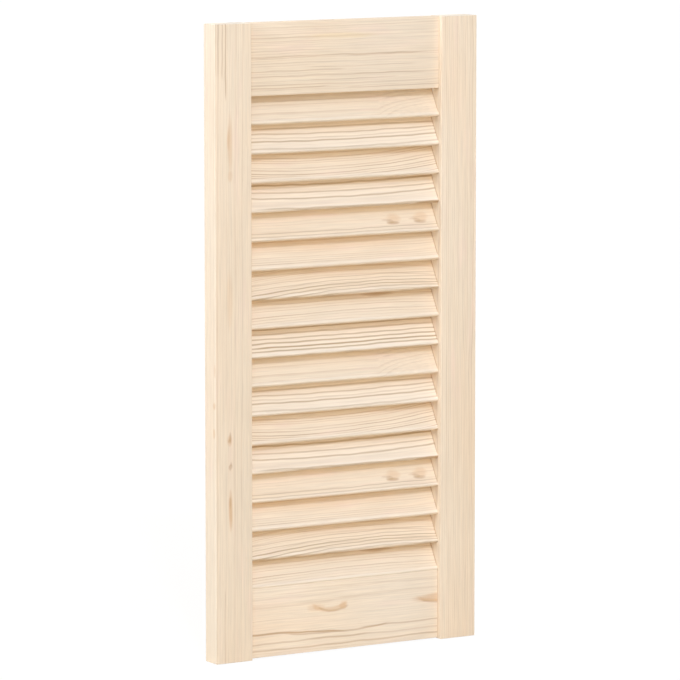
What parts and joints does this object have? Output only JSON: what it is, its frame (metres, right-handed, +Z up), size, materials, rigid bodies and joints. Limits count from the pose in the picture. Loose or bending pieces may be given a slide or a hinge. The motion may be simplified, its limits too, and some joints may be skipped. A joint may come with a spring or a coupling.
{
  "type": "louvred cabinet door",
  "caption": "Small louvred door leaf in plain pine: two stiles and two rails hold fixed, overlapping slats that lean back and let air through.",
  "frame": {"origin": "middle of the left stile's outer edge face, where hinges are screwed on: half way up and half way through the thickness", "axes": "+Z up along the stiles, +X across the leaf to the right seen from the front, +Y from the front to the back, so the front faces -Y"},
  "size_m": [0.294, 0.021, 0.615],
  "materials": {
    "stile_pine": "planed and sanded, bare",
    "rail_pine": "planed and sanded, bare",
    "slat_pine": "planed and sanded, bare"
  },
  "bodies": {
    "root": {"stile_left": "stile_pine", "stile_right": "stile_pine", "rail_top": "rail_pine", "rail_bottom": "rail_pine", "slat_01": "slat_pine", "slat_02": "slat_pine", "slat_03": "slat_pine", "slat_04": "slat_pine", "slat_05": "slat_pine", "slat_06": "slat_pine", "slat_07": "slat_pine", "slat_08": "slat_pine", "slat_09": "slat_pine", "slat_10": "slat_pine", "slat_11": "slat_pine", "slat_12": "slat_pine", "slat_13": "slat_pine", "slat_14": "slat_pine", "slat_15": "slat_pine", "slat_16": "slat_pine", "slat_17": "slat_pine"}
  },
  "joints": []
}
